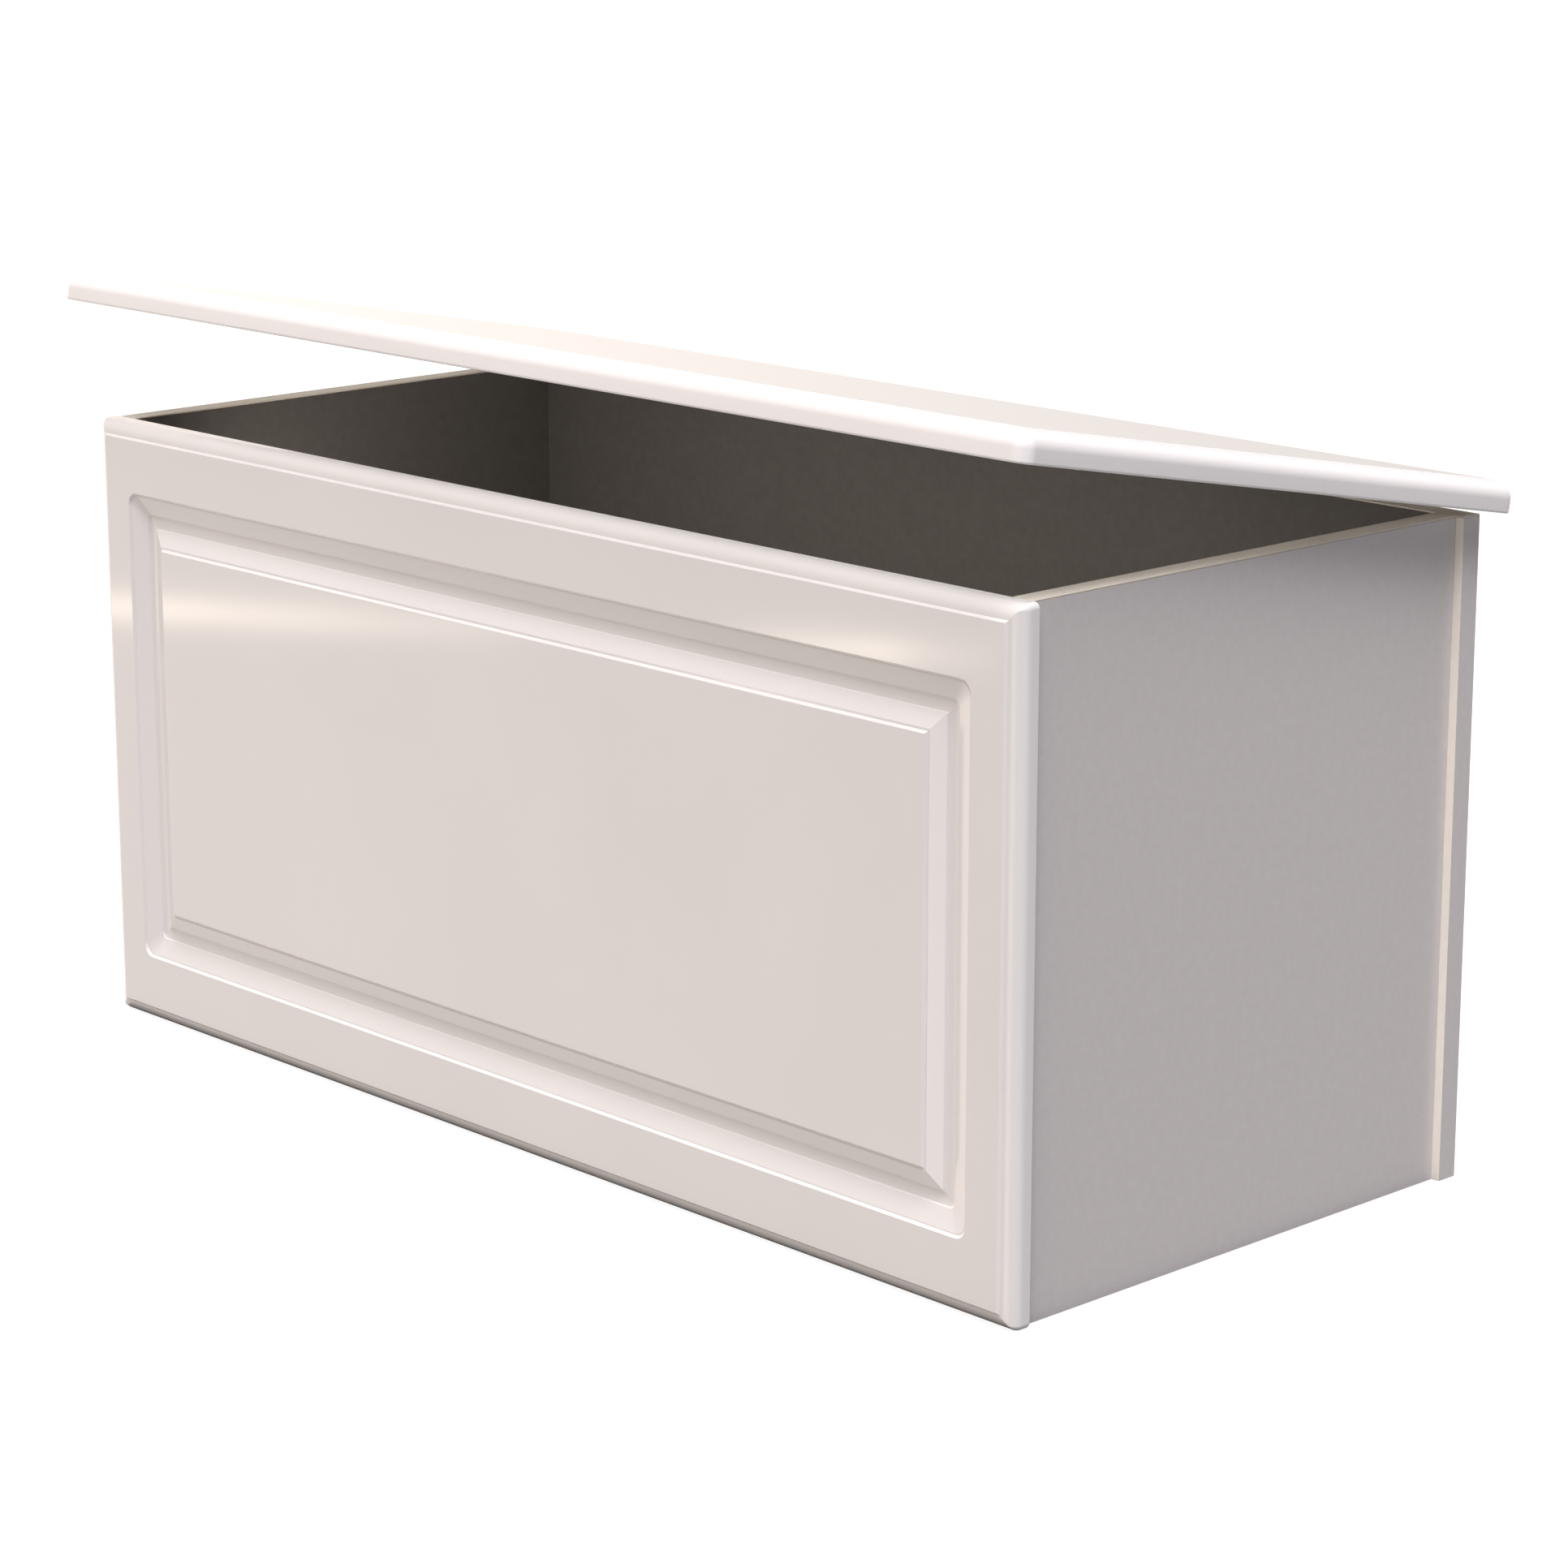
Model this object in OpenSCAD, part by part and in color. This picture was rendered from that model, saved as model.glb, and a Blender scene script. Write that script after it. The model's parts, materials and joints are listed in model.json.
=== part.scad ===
// Storage bench: a box of boards behind a wrapped front panel with a raised field,
// closed by a wrapped lid on three friction hinges. Millimetres, +Z up. The origin is on
// the floor at the middle of the body, X runs along the bench and the front faces -Y.

/* [Body] */
// Width of the front and back panels, end to end
body_w = 900; // [600:10:1200]
// Depth of the body from its front face to its rear face
body_d = 415; // [350:5:600]
// Height of the body under the lid
body_h = 435; // [300:5:600]
// Thickness of the wrapped front panel
front_t = 18; // [16:1:22]
// Thickness of the side, back and base boards
board_t = 16; // [15:1:19]
// How far the side panels stand in from the ends of the front and back panels
side_inset = 6; // [2:1:8]
// Height of the base board's top face over the floor
base_top = 50; // [50:1:100]
// Thickness of the edge bands on the top edges
band_t = 1; // [0.5:0.5:2]

/* [Lid] */
// Thickness of the lid
lid_t = 20; // [18:1:25]
// How far the lid reaches past each end of the body
lid_side_over = 15; // [5:1:30]
// How far the lid reaches past the front face of the body
lid_front_over = 24; // [10:1:40]
// How far the lid reaches past the rear face of the body
lid_rear_over = 16; // [12:1:20]
// Gap between the closed lid and the rim of the body
lid_gap = 1.6; // [1.6:0.1:3]
// Radius of the lid's corners, seen from above
lid_corner_r = 11; // [2:1:20]
// Angle at which the lid stands open
open_angle = 10.8; // [0:0.1:90]

/* [Edge profile] */
// Radius of the round-over along the wrapped edges
edge_r = 9.5; // [4:0.5:12]
// Width of the ledge between the round-over and the small step on the face
ledge = 1.7; // [0.5:0.1:4]
// Depth of that small step
quirk = 1; // [0.5:0.1:1.5]
// Radius of the front panel's corners, seen from the front
panel_corner_r = 4; // [1:0.5:8]

/* [Raised field] */
// Width of the frame's upright bands
stile_w = 37; // [25:1:80]
// Width of the frame's level bands
rail_w = 48.7; // [25:0.1:80]
// Width of the sloping wall around the groove
wall_run = 12.5; // [5:0.5:20]
// Width of the flat floor of the groove
floor_run = 12; // [5:0.5:20]
// Width of the bevel around the raised field
bevel_run = 13; // [5:0.5:20]
// Depth of the groove under the front face
groove_depth = 6; // [3:0.5:8]

/* [Hinges] */
// Width of a hinge along its pin
hinge_w = 70; // [50:5:90]
// Length of the hinge leaf on the back panel, under the pin
body_leaf_len = 32; // [28:1:40]
// Length of the hinge leaf under the lid, from the pin
lid_leaf_len = 42; // [40:1:55]
// Thickness of the hinge leaves
leaf_t = 1.4; // [1:0.1:1.5]
// Outer radius of the knuckles
knuckle_r = 3.2; // [3:0.1:4]
// Radius of the hinge pin
pin_r = 1.45; // [1.2:0.05:1.6]

/* [Fixings] */
// Radius of a cam lock
cam_r = 7.5; // [6:0.5:7.5]
// Distance of a cam lock's centre from the front edge of the side panel
cam_set = 34; // [24:1:40]
// Radius of a wooden dowel
dowel_r = 4; // [3:0.5:4]
// Length of a wooden dowel
dowel_len = 30; // [25:1:35]
// Width of a base cleat
cleat_w = 18; // [15:1:25]
// Height of a base cleat
cleat_h = 22; // [18:1:25]

/* [Hidden] */
$fn = 48;

eps = 0.01;
past = 1;
front_y = -body_d / 2;
rear_y = body_d / 2;
side_front_y = front_y + front_t;
side_rear_y = rear_y - board_t;
side_len = side_rear_y - side_front_y;
side_out_x = body_w / 2 - side_inset;
side_in_x = side_out_x - board_t;
side_mid_x = side_out_x - board_t / 2;
base_bottom = base_top - board_t;
base_mid = base_top - board_t / 2;
quirk_in = edge_r + ledge;
lid_w = body_w + 2 * lid_side_over;
lid_d = body_d + lid_front_over + lid_rear_over;

// Rows of fixings up the corners, and along the base board's rear edge
cam_zs = [60, body_h - 60];
dowel_zs = [110, body_h - 110];
confirmat_zs = [50, body_h / 2, body_h - 50];
base_confirmat_xs = [for (k = [-1, 0, 1]) k * body_w / 3.6];

// Cam locks in 12.5 mm deep holes, their bolts, and the dowels' share in the front panel
cam_depth = 12.5;
cam_bolt_r = 3;
cam_channel_r = 4;
cam_bolt_bite = 11;
dowel_bite = 12;

// Screws through the back panel into the boards' edges, and the caps over their heads
confirmat_r = 3.2;
confirmat_head_r = 5;
confirmat_head_h = 3;
confirmat_len = 50;
cap_r = 6;
cap_h = 1.2;

// Small countersunk wood screws
screw_r = 1.7;
screw_head_r = 3.6;
screw_head_h = 2;
hinge_screw_head_r = 3;
hinge_screw_head_h = 1.2;
hinge_screw_len = 14;
cleat_screw_len = 28;
base_screw_len = 32;

// The cleats under the base board, their screws and the screws down through the base board
cleat_mid_z = base_bottom - cleat_h / 2;
cleat_end_gap = 20;
front_cleat_len = body_w * 0.8;
front_cleat_screw_xs = [for (k = [-1.5 : 1 : 1.5]) k * front_cleat_len / 4];
front_base_screw_xs = [for (k = [-1, 0, 1]) k * front_cleat_len / 4];
side_cleat_len = side_len - 2 * cleat_w - 2 * cleat_end_gap;
side_cleat_mid_y = (side_front_y + side_rear_y) / 2 + cleat_w / 2;
side_cleat_screw_ys = [for (k = [-1, 0, 1]) side_cleat_mid_y + k * side_cleat_len / 3];
side_base_screw_ys = [for (k = [-1, 1]) side_cleat_mid_y + k * side_cleat_len / 6];

// The pin axis lies behind the back panel, just under the lid. The body's knuckles are a
// little smaller than the lid's, to clear the lid
lid_under = body_h + lid_gap;
barrel_gap = 0.1;
body_knuckle_r = knuckle_r - barrel_gap;
pin_y = rear_y + knuckle_r + barrel_gap;
pin_z = lid_under - knuckle_r;
pin_gap = 0.05;
pin_head_r = knuckle_r - 0.6;
pin_head_h = 0.8;
knuckle_gap = 0.3;
leaf_relief = 0.4;
leaf_corner_r = 5;
hinge_x = body_w / 3;
hinge_xs = [-hinge_x, 0, hinge_x];
hinge_hole_x = hinge_w * 0.34;
knuckles = 5;
knuckle_w = hinge_w / knuckles;

// Screw holes of a leaf: X from the hinge's middle, and distance from the pin
body_leaf_holes = [[-hinge_hole_x, 12], [0, 23], [hinge_hole_x, 12]];
lid_leaf_holes = [[-hinge_hole_x, 27], [0, 35], [hinge_hole_x, 27]];

// Bumpers under the lid, near the front and rear ends of the side panels
bumper_r = 4;
bumper_set = 35;
bumper_h = lid_gap - 0.1;
bumper_ys = [side_front_y + bumper_set, side_rear_y - bumper_set];

gloss_white = [0.93, 0.91, 0.89];
satin_white = [0.87, 0.85, 0.83];
charcoal = [0.27, 0.25, 0.23];
cream = [0.80, 0.75, 0.68];
pine = [0.80, 0.66, 0.46];
steel = [0.72, 0.72, 0.73];
zinc = [0.60, 0.60, 0.60];
rubber_white = [0.85, 0.85, 0.84];

// ---- Shapes that repeat ----

// Cross-section of a wrapped board: the face is up, with a small step and a round-over
module edge_outline(len, t) {
    translate([-len / 2, 0]) square([len, t - quirk - edge_r]);
    translate([-len / 2 + edge_r, 0]) square([len - 2 * edge_r, t - quirk]);
    translate([-len / 2 + quirk_in, 0]) square([len - 2 * quirk_in, t]);
    for (s = [-1, 1])
        translate([s * (len / 2 - edge_r), t - quirk - edge_r]) circle(r = edge_r);
}

module rounded_rect(w, h, r) {
    square([w - 2 * r, h], center = true);
    square([w, h - 2 * r], center = true);
    for (sx = [-1, 1], sy = [-1, 1])
        translate([sx * (w / 2 - r), sy * (h / 2 - r)]) circle(r = r);
}

// Runs an outline in Y and Z along X, and an outline in X and Z along Y
module run_x(len) { rotate([90, 0, 90]) linear_extrude(len, center = true) children(); }
module run_y(len) { rotate([90, 0, 0]) linear_extrude(len, center = true) children(); }

// A wrapped board lying with its face up, its middle at the origin
module wrapped_board(w, h, t, corner_r) {
    intersection() {
        run_x(w) edge_outline(h, t);
        run_y(h) edge_outline(w, t);
        linear_extrude(t) rounded_rect(w, h, corner_r);
    }
}

// Cross-section of the pocket around the raised field, cut into a face at height t
module pocket_outline(len, t) {
    polygon([[-len / 2, t + past], [-len / 2, t - quirk], [-len / 2 + wall_run, t - groove_depth],
        [len / 2 - wall_run, t - groove_depth], [len / 2, t - quirk], [len / 2, t + past]]);
}

// Cross-section of the raised field, with its bevel and its small step
module field_outline(len, t) {
    root = 2;
    half = len / 2;
    polygon([[-half, t - groove_depth - root], [-half, t - groove_depth],
        [-half + bevel_run, t - quirk], [-half + bevel_run, t],
        [half - bevel_run, t], [half - bevel_run, t - quirk],
        [half, t - groove_depth], [half, t - groove_depth - root]]);
}

// A straight hole or shaft along +X or +Y from a point
module along_x(p, r, len) { translate(p) rotate([0, 90, 0]) cylinder(r = r, h = len); }
module along_y(p, r, len) { translate(p) rotate([-90, 0, 0]) cylinder(r = r, h = len); }

// A countersunk screw: the head's top is at z = 0 and the shank runs down
module screw(len, r, head_r, head_h) {
    rotate_extrude()
        polygon([[0, 0], [head_r, 0], [r, -head_h], [r, -len + 2 * r], [0, -len]]);
}

// Puts a closed-lid shape at the angle where the lid stands
module on_lid() {
    translate([0, pin_y, pin_z]) rotate([-open_angle, 0, 0]) translate([0, -pin_y, -pin_z])
        children();
}

// ---- Boards ----

module front_panel() {
    pocket_w = body_w - 2 * stile_w;
    pocket_h = body_h - 2 * rail_w;
    inner = 2 * (wall_run + floor_run);
    color(gloss_white)
    difference() {
        translate([0, front_y + front_t, body_h / 2]) rotate([90, 0, 0]) {
            difference() {
                wrapped_board(body_w, body_h, front_t, panel_corner_r);
                intersection() {
                    run_x(pocket_w) pocket_outline(pocket_h, front_t);
                    run_y(pocket_h) pocket_outline(pocket_w, front_t);
                }
            }
            intersection() {
                run_x(pocket_w - inner) field_outline(pocket_h - inner, front_t);
                run_y(pocket_h - inner) field_outline(pocket_w - inner, front_t);
            }
        }
        for (s = [-1, 1]) {
            for (z = cam_zs)
                along_y([s * side_mid_x, side_front_y - cam_bolt_bite, z], cam_bolt_r,
                    cam_bolt_bite + past);
            for (z = dowel_zs)
                along_y([s * side_mid_x, side_front_y - dowel_bite, z], dowel_r, dowel_bite + past);
        }
        for (x = front_cleat_screw_xs) translate([x, side_front_y, cleat_mid_z])
            rotate([90, 0, 0]) cylinder(r = screw_r, h = cleat_screw_len - cleat_w);
    }
}

// s is -1 for the left side panel and 1 for the right one
module side_panel(s) {
    color(satin_white)
    difference() {
        translate([s > 0 ? side_in_x : -side_out_x, side_front_y, 0])
            cube([board_t, side_len, body_h - band_t]);
        for (z = cam_zs) {
            translate([s * (side_in_x - past), side_front_y + cam_set, z]) rotate([0, s * 90, 0])
                cylinder(r = cam_r, h = cam_depth + past);
            along_y([s * side_mid_x, side_front_y - past, z], cam_channel_r, cam_set + past);
        }
        for (z = dowel_zs)
            along_y([s * side_mid_x, side_front_y - past, z], dowel_r,
                dowel_len - dowel_bite + past);
        for (z = confirmat_zs)
            along_y([s * side_mid_x, rear_y - confirmat_len, z], confirmat_r, confirmat_len);
        for (y = side_cleat_screw_ys) translate([s * side_in_x, y, cleat_mid_z])
            rotate([0, s * 90, 0]) cylinder(r = screw_r, h = cleat_screw_len - cleat_w);
    }
}

module back_panel() {
    color(satin_white)
    difference() {
        translate([-body_w / 2, side_rear_y, 0]) cube([body_w, board_t, body_h - band_t]);
        for (p = confirmat_points()) {
            along_y([p[0], side_rear_y - past, p[1]], confirmat_r, board_t + 2 * past);
            translate([p[0], rear_y, p[1]]) rotate([90, 0, 0])
                cylinder(r1 = confirmat_head_r, r2 = confirmat_r, h = confirmat_head_h);
        }
        for (x = hinge_xs, p = body_leaf_holes)
            translate([x + p[0], rear_y + past, pin_z - p[1]]) rotate([90, 0, 0])
                cylinder(r = screw_r, h = hinge_screw_len - leaf_t + past);
    }
}

// Every through screw in the back panel, as X and Z
function confirmat_points() = concat(
    [for (s = [-1, 1], z = confirmat_zs) [s * side_mid_x, z]],
    [for (x = base_confirmat_xs) [x, base_mid]]);

module base_panel() {
    slack = 0.5;
    color(charcoal)
    difference() {
        translate([-side_in_x + slack, side_front_y, base_bottom])
            cube([2 * (side_in_x - slack), side_len, board_t]);
        for (x = base_confirmat_xs)
            along_y([x, rear_y - confirmat_len, base_mid], confirmat_r, confirmat_len);
        for (p = base_screw_points()) translate([p[0], p[1], base_top]) {
            translate([0, 0, -board_t - past]) cylinder(r = screw_r, h = board_t + 2 * past);
            translate([0, 0, -screw_head_h]) cylinder(r1 = screw_r, r2 = screw_head_r, h = screw_head_h);
        }
    }
}

module side_edge_band(s) {
    color(cream) translate([s > 0 ? side_in_x : -side_out_x, side_front_y, body_h - band_t])
        cube([board_t, side_len, band_t]);
}

module back_edge_band() {
    color(cream) translate([-body_w / 2, side_rear_y, body_h - band_t])
        cube([body_w, board_t, band_t]);
}

module lid_board() {
    color(gloss_white)
    on_lid() difference() {
        translate([0, rear_y + lid_rear_over - lid_d / 2, lid_under])
            wrapped_board(lid_w, lid_d, lid_t, lid_corner_r);
        for (x = hinge_xs, p = lid_leaf_holes)
            translate([x + p[0], pin_y - p[1], lid_under - past])
                cylinder(r = screw_r, h = hinge_screw_len - leaf_t + past);
    }
}

// ---- Base cleats and their screws ----

// Every screw through the base board into a cleat, as X and Y
function base_screw_points() = concat(
    [for (x = front_base_screw_xs) [x, side_front_y + cleat_w / 2]],
    [for (s = [-1, 1], y = side_base_screw_ys) [s * (side_in_x - cleat_w / 2), y]]);

module front_cleat() {
    color(pine)
    difference() {
        translate([-front_cleat_len / 2, side_front_y, base_bottom - cleat_h])
            cube([front_cleat_len, cleat_w, cleat_h]);
        for (x = front_cleat_screw_xs)
            translate([x, side_front_y + cleat_w, cleat_mid_z]) rotate([-90, 0, 0]) screw_cutter();
        for (p = base_screw_points()) translate([p[0], p[1], base_bottom - base_screw_len + board_t])
            cylinder(r = screw_r, h = base_screw_len);
    }
}

module side_cleat(s) {
    color(pine)
    difference() {
        translate([s > 0 ? side_in_x - cleat_w : -side_in_x,
            side_cleat_mid_y - side_cleat_len / 2, base_bottom - cleat_h])
            cube([cleat_w, side_cleat_len, cleat_h]);
        for (y = side_cleat_screw_ys)
            translate([s * (side_in_x - cleat_w), y, cleat_mid_z]) rotate([0, -s * 90, 0])
                screw_cutter();
        for (p = base_screw_points()) translate([p[0], p[1], base_bottom - base_screw_len + board_t])
            cylinder(r = screw_r, h = base_screw_len);
    }
}

// The hole of a cleat screw, drilled down from z = 0
module screw_cutter() {
    translate([0, 0, -cleat_w - past]) cylinder(r = screw_r, h = cleat_w + past + eps);
    translate([0, 0, -screw_head_h]) cylinder(r1 = screw_r, r2 = screw_head_r, h = screw_head_h);
}

module cleat_screws() {
    color(zinc) {
        for (x = front_cleat_screw_xs)
            translate([x, side_front_y + cleat_w, cleat_mid_z]) rotate([-90, 0, 0])
                screw(cleat_screw_len, screw_r, screw_head_r, screw_head_h);
        for (s = [-1, 1], y = side_cleat_screw_ys)
            translate([s * (side_in_x - cleat_w), y, cleat_mid_z]) rotate([0, -s * 90, 0])
                screw(cleat_screw_len, screw_r, screw_head_r, screw_head_h);
    }
}

module base_screws() {
    color(zinc)
    for (p = base_screw_points()) translate([p[0], p[1], base_top])
        screw(base_screw_len, screw_r, screw_head_r, screw_head_h);
}

// ---- Corner fixings ----

// A cam lock standing on the floor of its blind hole, its channel towards -Y
module cam_lock() {
    recess = 0.5;
    slot_len = 7;
    slot_w = 1;
    slot_h = 1.5;
    overrun = 2;
    difference() {
        cylinder(r = cam_r, h = cam_depth - recess);
        translate([0, overrun, cam_depth - board_t / 2]) rotate([90, 0, 0])
            cylinder(r = cam_channel_r, h = cam_r + overrun + past);
        for (a = [0, 90]) rotate(a) translate([-slot_len / 2, -slot_w / 2, cam_depth - recess - slot_h])
            cube([slot_len, slot_w, slot_h + past]);
    }
}

module cam_locks() {
    color(zinc)
    for (s = [-1, 1], z = cam_zs)
        translate([s * (side_in_x + cam_depth), side_front_y + cam_set, z])
            rotate([0, -s * 90, 0]) cam_lock();
}

module cam_bolts() {
    head_len = 3;
    neck_r = 2;
    color(steel)
    for (s = [-1, 1], z = cam_zs) translate([s * side_mid_x, side_front_y, z])
        rotate([-90, 0, 0]) {
            translate([0, 0, -cam_bolt_bite]) cylinder(r = cam_bolt_r, h = cam_bolt_bite);
            cylinder(r = neck_r, h = cam_set - 1);
            translate([0, 0, cam_set - 1 - head_len]) cylinder(r = cam_bolt_r, h = head_len);
        }
}

module dowels() {
    color(pine)
    for (s = [-1, 1], z = dowel_zs)
        along_y([s * side_mid_x, side_front_y - dowel_bite, z], dowel_r, dowel_len);
}

module confirmat_screws() {
    color(steel)
    for (p = confirmat_points()) translate([p[0], rear_y, p[1]]) rotate([-90, 0, 0])
        screw(confirmat_len, confirmat_r, confirmat_head_r, confirmat_head_h);
}

module screw_caps() {
    color(satin_white)
    for (p = confirmat_points()) along_y([p[0], rear_y, p[1]], cap_r, cap_h);
}

// ---- Hinges ----

// The knuckles with the given numbers, as a barrel with its bore along X
module knuckle_set(indices, r) {
    for (k = indices) difference() {
        translate([-hinge_w / 2 + k * knuckle_w + knuckle_gap / 2, 0, 0]) rotate([0, 90, 0])
            cylinder(r = r, h = knuckle_w - knuckle_gap);
        along_x([-hinge_w / 2 - past, 0, 0], pin_r + pin_gap, hinge_w + 2 * past);
    }
}

// A countersunk hole in a leaf lying flat, with the head's side up
module leaf_hole() {
    translate([0, 0, -past]) cylinder(r = screw_r, h = leaf_t + 2 * past);
    translate([0, 0, leaf_t - hinge_screw_head_h])
        cylinder(r1 = screw_r, r2 = hinge_screw_head_r, h = hinge_screw_head_h);
}

// A leaf lying flat under z = 0, with the pin's side along y = 0 and round corners far from it
module leaf_plate(len) {
    w = hinge_w - knuckle_gap;
    translate([0, 0, -leaf_t]) linear_extrude(leaf_t) {
        translate([0, -len / 2]) rounded_rect(w, len, leaf_corner_r);
        translate([0, -len / 4]) square([w, len / 2], center = true);
    }
}

// The leaf screwed to the rear face of the back panel
module hinge_body_leaf(x) {
    own = [0, 2, 4];
    other = [1, 3];
    color(steel) translate([x, pin_y, pin_z]) {
        knuckle_set(own, body_knuckle_r);
        difference() {
            translate([0, rear_y - pin_y, 0]) rotate([90, 0, 0]) leaf_plate(body_leaf_len);
            for (k = other)
                translate([-hinge_w / 2 + k * knuckle_w - knuckle_gap / 2, rear_y - pin_y - past,
                    -knuckle_r - leaf_relief])
                    cube([knuckle_w + knuckle_gap, leaf_t + 2 * past, knuckle_r + leaf_relief + past]);
            along_x([-hinge_w / 2 - past, 0, 0], body_knuckle_r - eps, hinge_w + 2 * past);
            for (p = body_leaf_holes) translate([p[0], rear_y - pin_y, -p[1]])
                rotate([-90, 0, 0]) leaf_hole();
        }
    }
}

// The leaf screwed to the underside of the lid, drawn with the lid closed
module hinge_lid_leaf(x) {
    own = [1, 3];
    other = [0, 2, 4];
    color(steel) on_lid() translate([x, pin_y, pin_z]) {
        knuckle_set(own, knuckle_r);
        difference() {
            translate([0, 0, knuckle_r]) leaf_plate(lid_leaf_len);
            for (k = other)
                translate([-hinge_w / 2 + k * knuckle_w - knuckle_gap / 2, -knuckle_r - leaf_relief,
                    knuckle_r - leaf_t - past])
                    cube([knuckle_w + knuckle_gap, knuckle_r + leaf_relief + past, leaf_t + 2 * past]);
            along_x([-hinge_w / 2 - past, 0, 0], knuckle_r - eps, hinge_w + 2 * past);
            for (p = lid_leaf_holes) translate([p[0], -p[1], knuckle_r])
                rotate([180, 0, 0]) leaf_hole();
        }
    }
}

module hinge_pin(x) {
    color(steel) {
        along_x([x - hinge_w / 2, pin_y, pin_z], pin_r, hinge_w);
        for (end = [x - hinge_w / 2 - pin_head_h, x + hinge_w / 2])
            along_x([end, pin_y, pin_z], pin_head_r, pin_head_h);
    }
}

module body_hinge_screws() {
    color(steel)
    for (x = hinge_xs, p = body_leaf_holes)
        translate([x + p[0], rear_y + leaf_t, pin_z - p[1]]) rotate([-90, 0, 0])
            screw(hinge_screw_len, screw_r, hinge_screw_head_r, hinge_screw_head_h);
}

module lid_hinge_screws() {
    color(steel) on_lid()
    for (x = hinge_xs, p = lid_leaf_holes)
        translate([x + p[0], pin_y - p[1], lid_under - leaf_t]) rotate([180, 0, 0])
            screw(hinge_screw_len, screw_r, hinge_screw_head_r, hinge_screw_head_h);
}

// Soft pads under the lid that land on the top edges of the side panels
module lid_bumpers() {
    color(rubber_white) on_lid()
    for (s = [-1, 1], y = bumper_ys)
        translate([s * side_mid_x, y, lid_under - bumper_h]) cylinder(r = bumper_r, h = bumper_h);
}

front_panel();
side_panel(-1);  // left_side_panel
side_panel(1);  // right_side_panel
back_panel();
base_panel();
side_edge_band(-1);  // left_edge_band
side_edge_band(1);  // right_edge_band
back_edge_band();
front_cleat();
side_cleat(-1);  // left_cleat
side_cleat(1);  // right_cleat
cleat_screws();
base_screws();
cam_locks();
cam_bolts();
dowels();
confirmat_screws();
screw_caps();
hinge_body_leaf(-hinge_x);  // left_hinge_body_leaf
hinge_body_leaf(0);  // middle_hinge_body_leaf
hinge_body_leaf(hinge_x);  // right_hinge_body_leaf
hinge_pin(-hinge_x);  // left_hinge_pin
hinge_pin(0);  // middle_hinge_pin
hinge_pin(hinge_x);  // right_hinge_pin
body_hinge_screws();
lid_board();
hinge_lid_leaf(-hinge_x);  // left_hinge_lid_leaf
hinge_lid_leaf(0);  // middle_hinge_lid_leaf
hinge_lid_leaf(hinge_x);  // right_hinge_lid_leaf
lid_hinge_screws();
lid_bumpers();
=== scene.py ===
import json
import math

import bmesh
import bpy
from mathutils import Matrix, Vector


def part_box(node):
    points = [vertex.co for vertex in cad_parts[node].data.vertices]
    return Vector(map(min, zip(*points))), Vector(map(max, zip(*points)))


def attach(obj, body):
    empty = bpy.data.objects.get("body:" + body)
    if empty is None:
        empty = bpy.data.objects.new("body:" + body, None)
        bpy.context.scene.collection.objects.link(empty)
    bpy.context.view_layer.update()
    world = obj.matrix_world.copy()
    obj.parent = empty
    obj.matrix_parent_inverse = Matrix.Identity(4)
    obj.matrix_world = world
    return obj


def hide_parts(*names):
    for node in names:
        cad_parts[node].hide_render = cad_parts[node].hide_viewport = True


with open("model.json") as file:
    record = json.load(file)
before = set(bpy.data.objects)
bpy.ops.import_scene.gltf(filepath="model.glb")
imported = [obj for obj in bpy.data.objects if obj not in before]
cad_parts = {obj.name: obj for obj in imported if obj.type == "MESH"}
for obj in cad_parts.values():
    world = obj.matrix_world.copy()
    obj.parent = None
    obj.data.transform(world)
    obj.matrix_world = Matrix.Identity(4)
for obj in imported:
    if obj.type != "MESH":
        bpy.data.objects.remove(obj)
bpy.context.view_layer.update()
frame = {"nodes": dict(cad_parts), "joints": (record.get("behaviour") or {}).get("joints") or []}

# A storage bench. Every board, band, hinge and fixing of the frame is replaced by a finished
# mesh in the same place: wrapped boards swept from their edge profile, two-tone boards with
# broken edges and real holes, and hardware with threads, recesses and rounded rims. Each piece
# is named after the node that it stands for.

MM = 0.001

# Edge profile of the wrapped boards: a round-over, then a small step up to the face. The foil
# is trimmed on the back, a little way in from the edge.
EDGE_R = 9.5 * MM
BACK_EDGE_R = 1.5 * MM
FOIL_TRIM = 4.0 * MM
QUIRK = 1.8 * MM
QUIRK_IN = 9.8 * MM
QUIRK_RUN = 1.3 * MM
SOFT = 0.4 * MM
FOOT_SOFT = 0.25 * MM
MITRE_R = 0.35 * MM
PANEL_CORNER_R = 4.0 * MM
LID_CORNER_R = 11.0 * MM

# Pocket and raised field of the front panel. Each slope stands between two small steps.
STILE_W = 36.8 * MM
RAIL_W = 48.5 * MM
STEP_RUN = 1.4 * MM
LEDGE = 0.8 * MM
WALL_RUN = 12.3 * MM
FLOOR_RUN = 8.1 * MM
FLOOR_SAG = 0.8 * MM
FLOOR_SAG_R = 12 * MM
BEVEL_RUN = 10.2 * MM
FIELD_LEDGE = 1.5 * MM
FOOT_RUN = 0.9 * MM
FOOT_STEP = 0.9 * MM
GROOVE_DEPTH = 6.8 * MM
RIM_CORNER_R = 9.0 * MM
FOOT_CORNER_R = 4.5 * MM

# How corners and profiles are rounded. A turn under STRAIGHT counts as none. A small fillet
# takes at most MOST_OF_SIDE of the sides it lies between, and a broad one what it needs.
CORNER_STEPS = 10
ARC_STEP = math.radians(12)
STRAIGHT = 1e-4
SMALL_FILLET = 5 * MM
MOST_OF_SIDE = 0.49

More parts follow.
